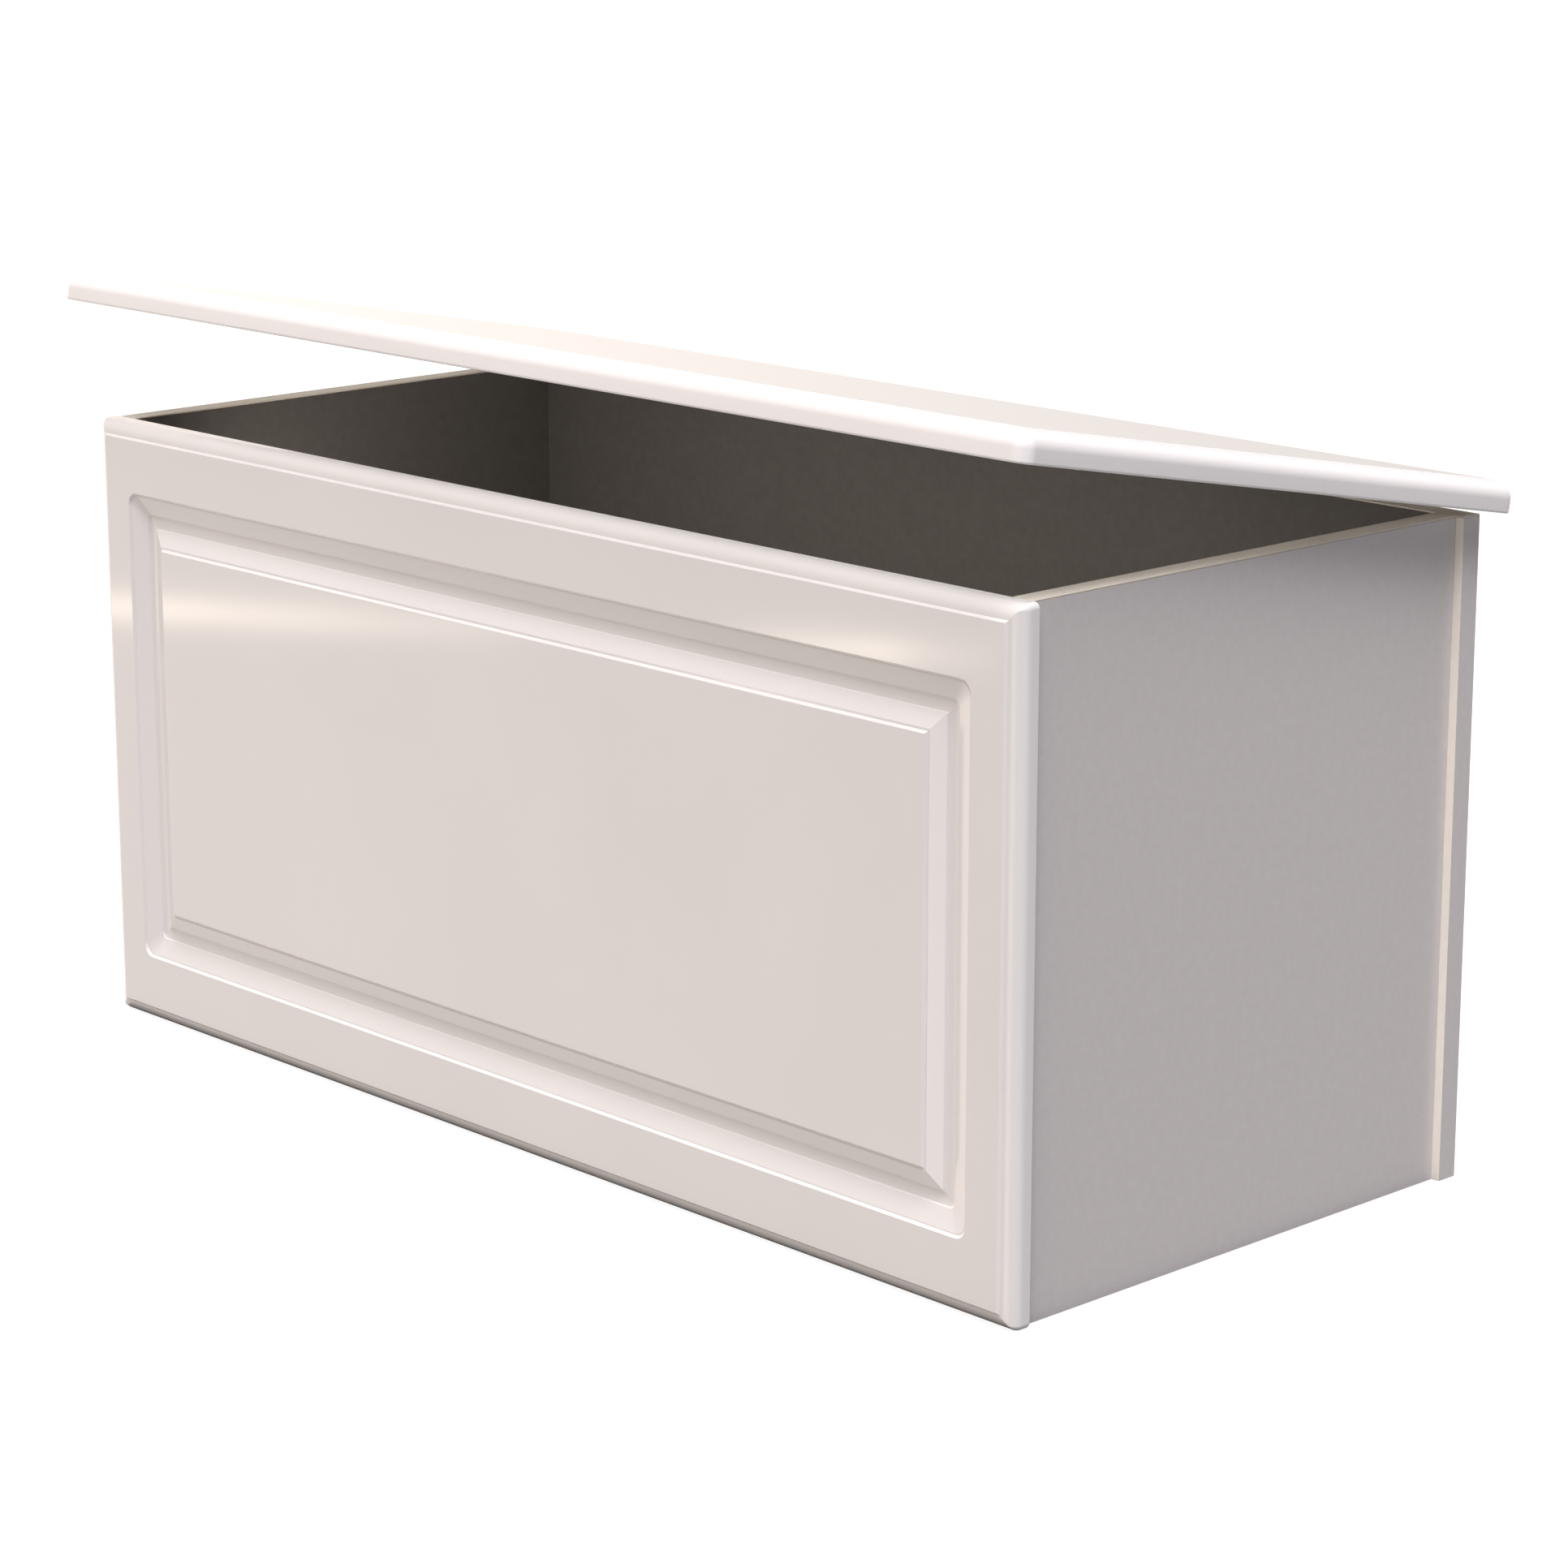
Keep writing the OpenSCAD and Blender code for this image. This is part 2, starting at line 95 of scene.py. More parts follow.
# Broken edges of the plain boards, bands and battens, and rounded rims of the hardware
BOARD_EDGE = 0.35 * MM
BAND_EDGE = 0.4 * MM
CLEAT_EDGE = 1.2 * MM
RIM_R = 0.2 * MM
DOWEL_RIM = 1.0 * MM

# Holes of the cam locks, and how much of the board is left behind them
CAM_HOLE_R = 7.5 * MM
CAM_HOLE_SIDES = 40
CAM_SKIN = 3.5 * MM

# Radius of each kind of screw and height of its head. Each screw of a kind is turned by
# SCREW_ROLL more than the one before, as if driven by hand. A thread has THREAD_ROWS rings of
# points to a turn.
SCREWS = {
    "cleat_screws": (1.7 * MM, 2.0 * MM),
    "base_screws": (1.7 * MM, 2.0 * MM),
    "confirmat_screws": (3.2 * MM, 3.0 * MM),
    "body_hinge_screws": (1.7 * MM, 1.2 * MM),
    "lid_hinge_screws": (1.7 * MM, 1.2 * MM),
}
SCREW_SIDES = 20
SCREW_ROLL = 0.7
HEAD_RIM = 0.15 * MM
SCREW_NECK = 1.2 * MM
THREAD_DEPTH = 0.45 * MM
THREAD_ROWS = 6

# Screw details as shares of the screw's radius
SHANK = 0.82
THREAD_PITCH = 0.9
SCREW_TIP = 2.4

# Cross recess: reach and depth as shares of the head's radius and height, then the width of its
# arms and the reach left at its foot as shares of its reach
CROSS_REACH = 0.62
CROSS_DEPTH = 0.9
CROSS_ARM = 0.34
CROSS_FOOT = 0.45

# Domes of the screw caps and the lid's pads, as shares of their radius and height
CAP_DOME = [(0, 1), (0.5, 0.97), (0.82, 0.85), (0.95, 0.6), (1, 0.2), (1, 0), (0, 0)]
CAP_SIDES = 40
PAD_DOME = [(0, 1), (0.45, 0.96), (0.75, 0.8), (0.93, 0.5), (1, 0.12), (1, 0), (0, 0)]
PAD_SIDES = 36

# Tolerances: vertices to merge, slivers to weld, and faces that lie on a plane. A face looks
# along an axis when at least MOSTLY of its normal does.
MERGE = 0.002 * MM
WELD = 0.004 * MM
TOUCH = 0.01 * MM
MOSTLY = 0.5

# Turns between faces: past SHARP their edge is a rim, and under COPLANAR they are one face.
# FLAT_WEIGHT, where 50 is neutral, lets broad faces outweigh narrow ones in smoothed normals.
SHARP = math.radians(35)
COPLANAR = math.radians(1)
FLAT_WEIGHT = 100

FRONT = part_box("front_panel")
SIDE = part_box("right_side_panel")
SIDE_MIDDLE = (SIDE[0].x + SIDE[1].x) / 2
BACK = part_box("back_panel")
PIN = Vector(frame["joints"][0]["pos_m"])
OPEN_ANGLE = math.radians(-frame["joints"][0]["range_deg"][0])

# Turns a shape made with the lid closed to the angle where the lid stands in the frame
OPEN_LID = (Matrix.Translation(PIN) @ Matrix.Rotation(-OPEN_ANGLE, 4, "X")
            @ Matrix.Translation(-PIN))
CLOSE_LID = OPEN_LID.inverted()


# ---- The frame's nodes ----

def box_of(points):
    low = Vector(min(p[k] for p in points) for k in range(3))
    high = Vector(max(p[k] for p in points) for k in range(3))
    return low, high


def middle(box):
    return (box[0] + box[1]) / 2


def merged(node):
    """A bmesh of a node whose solids are each in one piece."""
    bm = bmesh.new()
    bm.from_mesh(frame["nodes"][node].data)
    bmesh.ops.remove_doubles(bm, verts=bm.verts, dist=MERGE)
    return bm


def solids(node, body="root"):
    """The boxes of a node's separate solids, those of the lid with the lid closed."""
    bm = merged(node)
    if body == "lid":
        bm.transform(CLOSE_LID)
    boxes = []
    seen = set()
    for start in bm.verts:
        if start in seen:
            continue
        seen.add(start)
        group = [start]
        for v in group:
            for e in v.link_edges:
                other = e.other_vert(v)
                if other not in seen:
                    seen.add(other)
                    group.append(other)
        boxes.append(box_of([v.co for v in group]))
    bm.free()
    return sorted(boxes, key=lambda b: tuple(b[0]))


# ---- Pieces ----

def new_mesh(name, bm):
    mesh = bpy.data.meshes.new(name)
    bm.to_mesh(mesh)
    bm.free()
    return mesh


def new_object(name, data):
    thing = bpy.data.objects.new(name, data)
    bpy.context.scene.collection.objects.link(thing)
    return thing


def make_piece(bm, node, body, materials):
    """Makes a piece of a finished bmesh, in the place of a CAD node."""
    bmesh.ops.recalc_face_normals(bm, faces=bm.faces)
    name = node.title().replace("_", "")
    piece = new_object(name, new_mesh(name, bm))
    for material in materials:
        piece.data.materials.append(material)
    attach(piece, body)
    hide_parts(node)
    return piece


def smooth(piece):
    """Smooth shading that leaves broad faces flat."""
    piece.data.shade_smooth()
    weighted = piece.modifiers.new("normals", "WEIGHTED_NORMAL")
    weighted.weight = FLAT_WEIGHT
    weighted.keep_sharp = True


def coat(bm, materials, choose):
    """Gives each face the one of the materials that choose returns for it."""
    for face in bm.faces:
        face.material_index = materials.index(choose(face))


def join_rings(bm, low, high):
    for k in range(len(low)):
        j = (k + 1) % len(low)
        bm.faces.new((low[k], low[j], high[j], high[k]))


def close_ring(bm, ring, tip):
    for k in range(len(ring)):
        bm.faces.new((ring[k], ring[(k + 1) % len(ring)], tip))


def subtract(target, cutter_mesh, use_self=False):
    """The mesh that is left when another mesh is cut from an object ahead of its modifiers."""
    cutter = new_object(cutter_mesh.name, cutter_mesh)
    cut = target.modifiers.new("cut", "BOOLEAN")
    cut.operation = "DIFFERENCE"
    cut.solver = "EXACT"
    cut.use_self = use_self
    cut.object = cutter
    target.modifiers.move(len(target.modifiers) - 1, 0)
    bpy.context.view_layer.update()
    evaluated = target.evaluated_get(bpy.context.evaluated_depsgraph_get())
    result = bpy.data.meshes.new_from_object(evaluated)
    bpy.data.objects.remove(cutter)
    return result


def facing(start, direction, roll=0.0):
    """A place where local +Z points along a direction, turned about it by roll."""
    turn = Vector(direction).to_track_quat("Z", "Y").to_matrix().to_4x4()
    return Matrix.Translation(start) @ turn @ Matrix.Rotation(roll, 4, "Z")


# ---- Wrapped boards ----

def rounded_ring(width, height, radius, level):
    """A closed ring round a rectangle with round corners, anticlockwise seen from its face."""
    points = []
    for sx, sy, start in ((1, 1, 0), (-1, 1, 90), (-1, -1, 180), (1, -1, 270)):
        for k in range(CORNER_STEPS + 1):
            turn = math.radians(start + 90 * k / CORNER_STEPS)
            points.append((sx * (width / 2 - radius) + radius * math.cos(turn),
                           sy * (height / 2 - radius) + radius * math.sin(turn), level))
    return points


def fillet(p, a, b, radius, turn):
    """The arc that rounds corner p, whose sides leave it along a and b and turn by turn."""
    reach = radius * math.tan(turn / 2)
    if radius <= SMALL_FILLET:
        reach = min(reach, MOST_OF_SIDE * a.length, MOST_OF_SIDE * b.length)
    start = p + a.normalized() * reach
    end = p + b.normalized() * reach
    bisector = (a.normalized() + b.normalized()).normalized()
    centre = p + bisector * (reach / math.tan(turn / 2) / math.cos(turn / 2))
    first = start - centre
    angle = first.angle_signed(end - centre)
    steps = max(2, math.ceil(turn / ARC_STEP))
    arc = []
    for k in range(steps + 1):
        share = angle * k / steps
        arc.append((centre.x + first.x * math.cos(share) + first.y * math.sin(share),
                    centre.y - first.x * math.sin(share) + first.y * math.cos(share)))
    return arc


def soften(corners):
    """Rounds a profile. Each corner is (inset, level, fillet radius)."""
    points = [corners[0][:2]]
    for before, here, after in zip(corners, corners[1:], corners[2:]):
        p = Vector(here[:2])
        a = Vector(before[:2]) - p
        b = Vector(after[:2]) - p
        turn = math.pi - a.angle(b)
        if here[2] == 0 or turn < STRAIGHT:
            points.append(tuple(p))
        else:
            points += fillet(p, a, b, here[2], turn)
    points.append(corners[-1][:2])
    return points


def loft(rings):
    """A closed solid through a stack of rings. The first ring's cap takes the second material."""
    bm = bmesh.new()
    loops = [[bm.verts.new(p) for p in ring] for ring in rings]
    for low, high in zip(loops, loops[1:]):
        join_rings(bm, low, high)
    bm.faces.new(reversed(loops[0])).material_index = 1
    bm.faces.new(loops[-1])
    return bm


def wrapped_board(width, height, corners, corner_radius, extra_inset=lambda inset: 0):
    """A board whose profile runs from its back over its edge onto its face."""
    rings = []
    for inset, level in soften(corners):
        rings.append(rounded_ring(width - 2 * inset, height - 2 * (inset + extra_inset(inset)),
                                  corner_radius(inset), level))
    return loft(rings)


def edge_corners(thickness):
    """The profile shared by the wrapped boards: trimmed back, round-over, ledge, step."""
    return [(FOIL_TRIM, 0, 0), (0, 0, BACK_EDGE_R), (0, thickness - QUIRK, EDGE_R),
            (QUIRK_IN, thickness - QUIRK, SOFT), (QUIRK_IN + QUIRK_RUN, thickness, SOFT)]


def front_board(width, height, thickness):
    """The front panel lying on its back, with the pocket and the raised field in its face."""
    ledge = thickness - QUIRK
    floor = thickness - GROOVE_DEPTH
    wall_top = STILE_W + STEP_RUN + LEDGE
    wall_foot = wall_top + WALL_RUN
    floor_edge = wall_foot + FOOT_RUN
    bevel_foot = floor_edge + FLOOR_RUN
    bevel_top = bevel_foot + FOOT_RUN + BEVEL_RUN
    field = bevel_top + FIELD_LEDGE
    rim = STILE_W - SOFT
    corners = edge_corners(thickness) + [
        (STILE_W, thickness, SOFT), (STILE_W + STEP_RUN, ledge, SOFT), (wall_top, ledge, SOFT),
        (wall_foot, floor + FOOT_STEP, FOOT_SOFT), (floor_edge, floor, FOOT_SOFT),
        ((floor_edge + bevel_foot) / 2, floor - FLOOR_SAG, FLOOR_SAG_R),
        (bevel_foot, floor, FOOT_SOFT), (bevel_foot + FOOT_RUN, floor + FOOT_STEP, FOOT_SOFT),
        (bevel_top, ledge, SOFT), (field, ledge, SOFT), (field + STEP_RUN, thickness, SOFT),
        (field + STEP_RUN + LEDGE, thickness, 0)]

    def corner_radius(inset):
        if inset < rim:
            return max(PANEL_CORNER_R - inset, MITRE_R)
        if inset > wall_foot + 2 * FOOT_RUN:
            return MITRE_R
        share = min(max((inset - STILE_W) / (wall_foot - STILE_W), 0), 1)
        return RIM_CORNER_R + share * (FOOT_CORNER_R - RIM_CORNER_R)

    def extra_inset(inset):
        return RAIL_W - STILE_W if inset > rim else 0

    return wrapped_board(width, height, corners, corner_radius, extra_inset)


def make_front_panel():
    low, high = FRONT
    width, thickness, height = high - low
    bm = front_board(width, height, thickness)
    upright = Matrix.Rotation(math.pi / 2, 4, "X")
    place = Matrix.Translation((0, high.y, (low.z + high.z) / 2))
    bm.transform(place @ upright)

    def is_back(face):
        return face.calc_center_median().y > high.y - TOUCH

    def material(face):
        if not is_back(face):
            return GLOSS_FOIL
        inside = abs(face.calc_center_median().x) < SIDE_MIDDLE
        return MELAMINE_CHARCOAL if inside else MELAMINE_WHITE

    cut_at_sides(bm, is_back)
    materials = [GLOSS_FOIL, MELAMINE_CHARCOAL, MELAMINE_WHITE]
    coat(bm, materials, material)
    smooth(make_piece(bm, "front_panel", "root", materials))


def make_lid():
    low, high = box_of([CLOSE_LID @ v.co for v in frame["nodes"]["lid_board"].data.vertices])
    width, depth, thickness = high - low
    corners = edge_corners(thickness) + [(QUIRK_IN + QUIRK_RUN + LEDGE, thickness, 0)]
    bm = wrapped_board(width, depth, corners, lambda inset: max(LID_CORNER_R - inset, MITRE_R))
    bm.transform(OPEN_LID @ Matrix.Translation((0, (low.y + high.y) / 2, low.z)))
    smooth(make_piece(bm, "lid_board", "lid", [GLOSS_FOIL, MELAMINE_WHITE]))


# ---- Two-tone boards ----

def board_mesh(low, high, edge=BOARD_EDGE):
    """A board with broken edges."""
    bm = bmesh.new()
    bmesh.ops.create_cube(bm, size=1)
    size = high - low
    for v in bm.verts:
        v.co = Vector((low[k] + (v.co[k] + 0.5) * size[k] for k in range(3)))
    bmesh.ops.bevel(bm, geom=bm.edges[:], offset=edge, segments=2, profile=0.5,
                    affect="EDGES")
    return bm


def cut_at_sides(bm, chosen):
    """Splits the chosen faces at the middle of each side panel, to change material there."""
    for x in (-SIDE_MIDDLE, SIDE_MIDDLE):
        faces = [f for f in bm.faces if chosen(f)]
        edges = {e for f in faces for e in f.edges}
        verts = {v for f in faces for v in f.verts}
        bmesh.ops.bisect_plane(bm, geom=list(verts) + list(edges) + faces,
                               plane_co=(x, 0, 0), plane_no=(1, 0, 0))


def drill(piece, holes):
    """Cuts round holes (start, reach) in a piece. The walls take its last material."""
    bm = bmesh.new()
    for start, reach in holes:
        bmesh.ops.create_cone(bm, cap_ends=True, segments=CAM_HOLE_SIDES, radius1=CAM_HOLE_R,
                              radius2=CAM_HOLE_R, depth=reach.length,
                              matrix=facing(start + reach / 2, reach.normalized()))
    mesh = new_mesh("drill", bm)
    for material in piece.data.materials:
        mesh.materials.append(material)
    for face in mesh.polygons:
        face.material_index = len(piece.data.materials) - 1
    result = subtract(piece, mesh)
    piece.modifiers.clear()
    old = piece.data
    piece.data = result
    result.name = piece.name
    bpy.data.meshes.remove(old)


def make_side_panel(node, side):
    """side is -1 for the left panel and 1 for the right one."""
    low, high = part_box(node)
    outer = high.x if side > 0 else low.x
    inner = low.x if side > 0 else high.x

    def material(face):
        x = face.calc_center_median().x
        if abs(face.normal.x) < MOSTLY:
            return CHIPBOARD
        # Outer faces take the darkened melamine: partly the board's tone, partly painted shade
        return MELAMINE_TONE_AND_SHADE if abs(x - outer) < abs(x - inner) else MELAMINE_CHARCOAL

    bm = board_mesh(low, high)
    materials = [MELAMINE_TONE_AND_SHADE, MELAMINE_CHARCOAL, CHIPBOARD]
    coat(bm, materials, material)
    piece = make_piece(bm, node, "root", materials)
    smooth(piece)
    holes = []
    for cam in solids("cam_locks"):
        at = middle(cam)
        if at.x * side > 0:
            start = Vector((inner - side * MM, at.y, at.z))
            holes.append((start, Vector((outer - side * CAM_SKIN - start.x, 0, 0))))
    drill(piece, holes)


def make_back_panel():
    low, high = BACK

    def material(face):
        if face.normal.z < -MOSTLY:
            return CHIPBOARD
        # Faces that do not look forward take the darkened melamine: partly the board's tone,
        # partly painted shade
        if face.normal.y >= -MOSTLY:
            return MELAMINE_TONE_AND_SHADE
        # Beyond the sides the front face takes the brightened cream: painted light
        inside = abs(face.calc_center_median().x) < SIDE_MIDDLE
        return MELAMINE_CHARCOAL if inside else MELAMINE_CREAM_PAINTED_LIGHT

    bm = board_mesh(low, high)
    cut_at_sides(bm, lambda face: True)
    materials = [MELAMINE_CREAM_PAINTED_LIGHT, MELAMINE_CHARCOAL, MELAMINE_TONE_AND_SHADE, CHIPBOARD]
    coat(bm, materials, material)
    smooth(make_piece(bm, "back_panel", "root", materials))


def make_base_panel():
    low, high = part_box("base_panel")
    bm = board_mesh(low, high)
    materials = [MELAMINE_CHARCOAL, CHIPBOARD]
    coat(bm, materials, lambda f: CHIPBOARD if f.normal.z < -MOSTLY else MELAMINE_CHARCOAL)
    smooth(make_piece(bm, "base_panel", "root", materials))


def make_strip(node, material, edge):
    """A band or batten of one material."""
    low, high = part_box(node)
    smooth(make_piece(board_mesh(low, high, edge), node, "root", [material]))


# ---- Hardware ----

def ring_point(radius, z, k, sides):
    turn = 2 * math.pi * k / sides
    return radius * math.cos(turn), radius * math.sin(turn), z


def lathe(profile, sides):
    """A solid turned about Z. The profile runs from the axis at the top to the axis below."""
    bm = bmesh.new()
    loops = []
    for radius, z in profile:
        count = 1 if radius == 0 else sides
        loops.append([bm.verts.new(ring_point(radius, z, k, sides)) for k in range(count)])
    for upper, lower in zip(loops, loops[1:]):
        if len(upper) == 1:
            close_ring(bm, lower, upper[0])
        elif len(lower) == 1:
            close_ring(bm, upper[::-1], lower[0])
        else:
            join_rings(bm, lower, upper)
    return bm


def thread_ring(radius, length, z):
    """The points (radius, z) of one ring of a screw's thread, tapered towards its tip.

    The crest takes up the middle half of each turn.
    """
    taper = min(1, (length + z) / (SCREW_TIP * radius))
    ring = []
    for k in range(SCREW_SIDES):
        phase = (z / (THREAD_PITCH * radius) + k / SCREW_SIDES) % 1
        crest = max(0, 1 - abs(phase - 0.5) * 4)
        ring.append((taper * (radius - THREAD_DEPTH * (1 - crest)), z))
    return ring


def screw_mesh(length, radius, head_radius, head_height):
    """A countersunk screw, its head's top at z = 0, with a cross recess and a running thread."""
    head = [(head_radius - HEAD_RIM, 0), (head_radius, -HEAD_RIM), (radius * SHANK, -head_height)]
    rings = [[point] * SCREW_SIDES for point in head]
    neck = -head_height - SCREW_NECK
    rows = int((length + neck) / (THREAD_PITCH * radius) * THREAD_ROWS)
    for row in range(rows):
        rings.append(thread_ring(radius, length, neck - (length + neck) * row / rows))
    bm = bmesh.new()
    loops = []
    for ring in rings:
        points = [ring_point(r, z, k, SCREW_SIDES) for k, (r, z) in enumerate(ring)]
        loops.append([bm.verts.new(point) for point in points])
    for upper, lower in zip(loops, loops[1:]):
        join_rings(bm, lower, upper)
    close_ring(bm, loops[-1][::-1], bm.verts.new((0, 0, -length)))
    bm.faces.new(loops[0])
    bmesh.ops.recalc_face_normals(bm, faces=bm.faces)
    return cut_cross(new_mesh("screw", bm), head_radius * CROSS_REACH, head_height * CROSS_DEPTH)


def cut_cross(mesh, reach, depth):
    """A screw's mesh with a tapered cross recess cut into its head."""
    bm = bmesh.new()
    for turn in (0, math.pi / 2):
        arm = bmesh.ops.create_cube(bm, size=1)
        for v in arm["verts"]:
            deep = v.co.z < 0
            x = v.co.x * 2 * reach * (CROSS_FOOT if deep else 1)
            y = v.co.y * reach * CROSS_ARM
            z = -depth if deep else depth
            v.co = Matrix.Rotation(turn, 3, "Z") @ Vector((x, y, z))
    screw = new_object("screw", mesh)
    result = subtract(screw, new_mesh("cross", bm), use_self=True)
    bpy.data.objects.remove(screw)
    return result


def make_copies(mesh, places, node, body, material):
    """One piece made of a mesh copied to several places."""
    bm = bmesh.new()
    for place in places:
        part = mesh.copy()
        part.transform(place)
        bm.from_mesh(part)
        bpy.data.meshes.remove(part)
    coat(bm, [material], lambda face: material)
    piece = make_piece(bm, node, body, [material])
    piece.data.shade_smooth()
    piece.data.set_sharp_from_angle(angle=SHARP)


def make_screws(node, heads, material, body="root"):
    """heads gives, for each solid's box, its head's middle and the way the head faces."""
    boxes = solids(node, body)
    direction = heads(boxes[0])[1]
    axis = max(range(3), key=lambda k: abs(direction[k]))
    size = boxes[0][1] - boxes[0][0]
    across = max(size[k] for k in range(3) if k != axis)
    radius, head_height = SCREWS[node]
    mesh = screw_mesh(size[axis], radius, across / 2, head_height)
    places = []
    for k, box in enumerate(boxes):
        start, direction = heads(box)
        place = facing(start, direction, roll=SCREW_ROLL * k)
        places.append(OPEN_LID @ place if body == "lid" else place)
    make_copies(mesh, places, node, body, material)


def head_up(box):
    at = middle(box)
    return Vector((at.x, at.y, box[1].z)), Vector((0, 0, 1))


def head_down(box):
    at = middle(box)
    return Vector((at.x, at.y, box[0].z)), Vector((0, 0, -1))


def head_back(box):
    at = middle(box)
    return Vector((at.x, box[1].y, at.z)), Vector((0, 1, 0))


def head_inward(box):
    """The head of a cleat screw, which faces the chest's middle from the board that holds it."""
    at = middle(box)
    size = box[1] - box[0]
    if size.y > size.x:
        return head_back(box)
    if at.x > 0:
        return Vector((box[0].x, at.y, at.z)), Vector((-1, 0, 0))
    return Vector((box[1].x, at.y, at.z)), Vector((1, 0, 0))


def dome_mesh(profile, radius, height, sides):
    bm = lathe([(radius * r, height * z) for r, z in profile], sides)
    return new_mesh("dome", bm)


def make_caps():
    boxes = solids("screw_caps")
    low, high = boxes[-1]
    mesh = dome_mesh(CAP_DOME, (high.x - low.x) / 2, high.y - low.y, CAP_SIDES)
    places = []
    for box in boxes:
        at = middle(box)
        places.append(facing(Vector((at.x, box[0].y, at.z)), (0, 1, 0)))
    make_copies(mesh, places, "screw_caps", "root", CAP_PLASTIC)


def make_bumpers():
    boxes = solids("lid_bumpers", "lid")
    low, high = boxes[-1]
    mesh = dome_mesh(PAD_DOME, (high.x - low.x) / 2, high.z - low.z, PAD_SIDES)
    places = []
    for box in boxes:
        at = middle(box)
        places.append(OPEN_LID @ facing(Vector((at.x, at.y, box[1].z)), (0, 0, -1)))
    make_copies(mesh, places, "lid_bumpers", "lid", RUBBER)


def make_softened(node, body, material, width=RIM_R):
    """A copy of a small CAD solid with its sharp rims rounded."""
    bm = merged(node)
    bmesh.ops.dissolve_limit(bm, angle_limit=COPLANAR, verts=bm.verts, edges=bm.edges)
    coat(bm, [material], lambda face: material)
    piece = make_piece(bm, node, body, [material])
    bevel = piece.modifiers.new("rims", "BEVEL")
    bevel.width = width
    bevel.segments = 2
    bevel.limit_method = "ANGLE"
    bevel.angle_limit = SHARP
    bevel.use_clamp_overlap = True
    weld = piece.modifiers.new("weld", "WELD")
    weld.merge_threshold = WELD
    smooth(piece)


# ---- Materials ----

def srgb(red, green, blue):
    """A linear colour from sRGB values out of 255."""
    def linear(value):
        value /= 255
        return value / 12.92 if value <= 0.04045 else ((value + 0.055) / 1.055) ** 2.4
    return (linear(red), linear(green), linear(blue), 1.0)


class Nodes:
    """A material's node tree, with short calls for the nodes used here."""

    def __init__(self, name):
        self.material = bpy.data.materials.new(name)
        self.material.use_nodes = True
        self.tree = self.material.node_tree
        self.shader = self.tree.nodes["Principled BSDF"]
        self.place = self.tree.nodes.new("ShaderNodeTexCoord").outputs["Object"]

    def link(self, source, target):
        self.tree.links.new(source, target)

    def set(self, name, value):
        self.shader.inputs[name].default_value = value

    def scaled(self, scale):
        node = self.tree.nodes.new("ShaderNodeMapping")
        node.inputs["Scale"].default_value = scale
        self.link(self.place, node.inputs["Vector"])
        return node.outputs["Vector"]

    def noise(self, scale, detail=3.0, place=None):
        node = self.tree.nodes.new("ShaderNodeTexNoise")
        node.inputs["Scale"].default_value = scale
        node.inputs["Detail"].default_value = detail
        self.link(place or self.place, node.inputs["Vector"])
        return node.outputs["Fac"]

    def cell_shades(self, scale):
        """A random grey for each cell."""
        cells = self.tree.nodes.new("ShaderNodeTexVoronoi")
        cells.inputs["Scale"].default_value = scale
        self.link(self.place, cells.inputs["Vector"])
        grey = self.tree.nodes.new("ShaderNodeRGBToBW")
        self.link(cells.outputs["Color"], grey.inputs["Color"])
        return grey.outputs["Val"]

    def mixed(self, first, second, share):
        node = self.tree.nodes.new("ShaderNodeMix")
        node.data_type = "FLOAT"
        node.inputs["Factor"].default_value = share
        self.link(first, node.inputs["A"])
        self.link(second, node.inputs["B"])
        return node.outputs["Result"]

    def colour(self, value, stops):
        """Base colour from a value, by two end stops and then any stop between them."""
        node = self.tree.nodes.new("ShaderNodeValToRGB")
        elements = node.color_ramp.elements
        for element, (position, colour) in zip(elements, stops):
            element.position = position
            element.color = colour
        for position, colour in stops[2:]:
            elements.new(position).color = colour
        self.link(value, node.inputs["Fac"])
        self.link(node.outputs["Color"], self.shader.inputs["Base Color"])

    def roughness(self, value, low, high):
        node = self.tree.nodes.new("ShaderNodeMapRange")
        node.inputs["To Min"].default_value = low
        node.inputs["To Max"].default_value = high
        self.link(value, node.inputs["Value"])
        self.link(node.outputs["Result"], self.shader.inputs["Roughness"])

    def relief(self, height, strength, distance):
        node = self.tree.nodes.new("ShaderNodeBump")
        node.inputs["Strength"].default_value = strength
        node.inputs["Distance"].default_value = distance
        self.link(height, node.inputs["Height"])
        self.link(node.outputs["Normal"], self.shader.inputs["Normal"])


def gloss_foil():
    """White foil pressed over fibreboard: glossy, with a faint slow wave in its shine."""
    m = Nodes("GlossFoil")
    m.set("IOR", 1.5)
    m.set("Coat Weight", 0.9)
    m.set("Coat Roughness", 0.045)
    m.colour(m.noise(7, detail=2), [(0.3, srgb(233, 226, 221)), (0.7, srgb(236, 229, 224))])
    m.roughness(m.noise(25, detail=2), low=0.26, high=0.34)
    m.relief(m.noise(9, detail=1), strength=0.03, distance=0.6 * MM)
    return m.material


def melamine(name, colour, colour_2, low, high):
    """Melamine-faced board: a tight pearl texture over a faintly clouded colour."""
    m = Nodes(name)
    m.colour(m.noise(160), [(0.35, colour), (0.65, colour_2)])
    m.roughness(m.noise(300), low, high)
    m.relief(m.noise(2200, detail=2), strength=0.12, distance=0.03 * MM)
    return m.material


def edge_band_plastic():
    """Thin plastic banding with faint drawn lines along it."""
    m = Nodes("EdgeBandPlastic")
    m.set("Roughness", 0.42)
    grain = m.noise(180, detail=4, place=m.scaled((0.3, 0.3, 1)))
    m.colour(grain, [(0.3, srgb(216, 206, 190)), (0.7, srgb(221, 211, 196))])
    m.relief(m.noise(1500), strength=0.1, distance=0.03 * MM)
    return m.material


